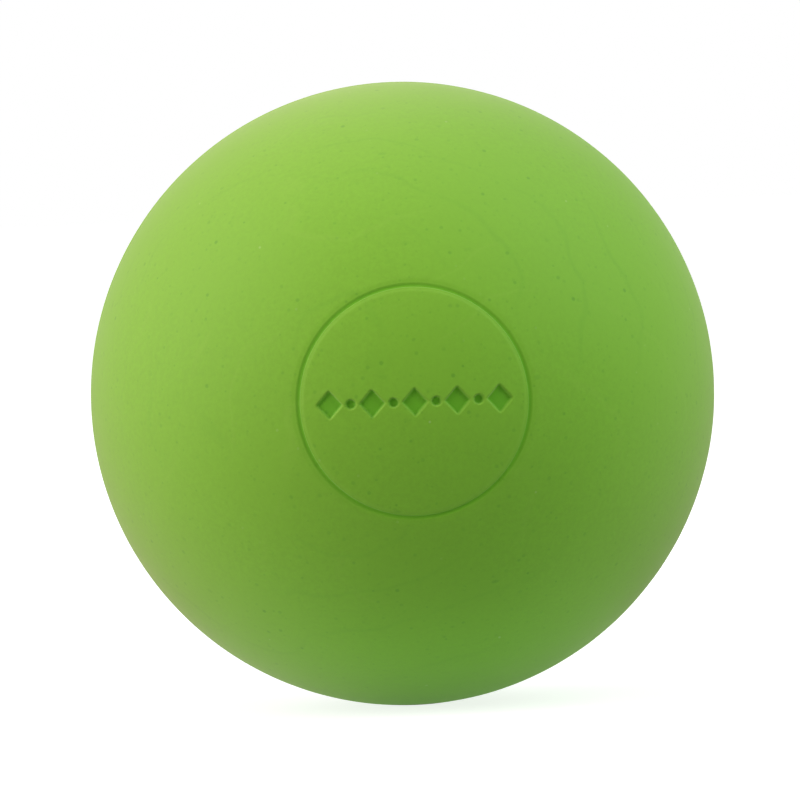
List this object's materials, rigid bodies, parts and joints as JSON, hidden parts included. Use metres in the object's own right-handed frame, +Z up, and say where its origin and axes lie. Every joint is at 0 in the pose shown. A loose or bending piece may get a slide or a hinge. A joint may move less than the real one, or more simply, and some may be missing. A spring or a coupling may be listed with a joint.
{
  "type": "lacrosse ball",
  "caption": "Solid rubber ball for lacrosse, lime green, with a round badge ring sunk into one side and a trimmed mould seam around its middle; thrown, caught and bounced in play.",
  "frame": {"origin": "the ball's centre", "axes": "-Y out through the middle of the badge ring, +Z up along the badge, the cover halves meet on the plane Y = 0"},
  "size_m": [0.0636, 0.0635, 0.0636],
  "materials": {
    "cover_rubber": "matte moulded rubber, lime green",
    "core_rubber": "matte rubber, duller green"
  },
  "bodies": {
    "root": {"core": "core_rubber", "front_cover": "cover_rubber", "back_cover": "cover_rubber"}
  },
  "joints": []
}
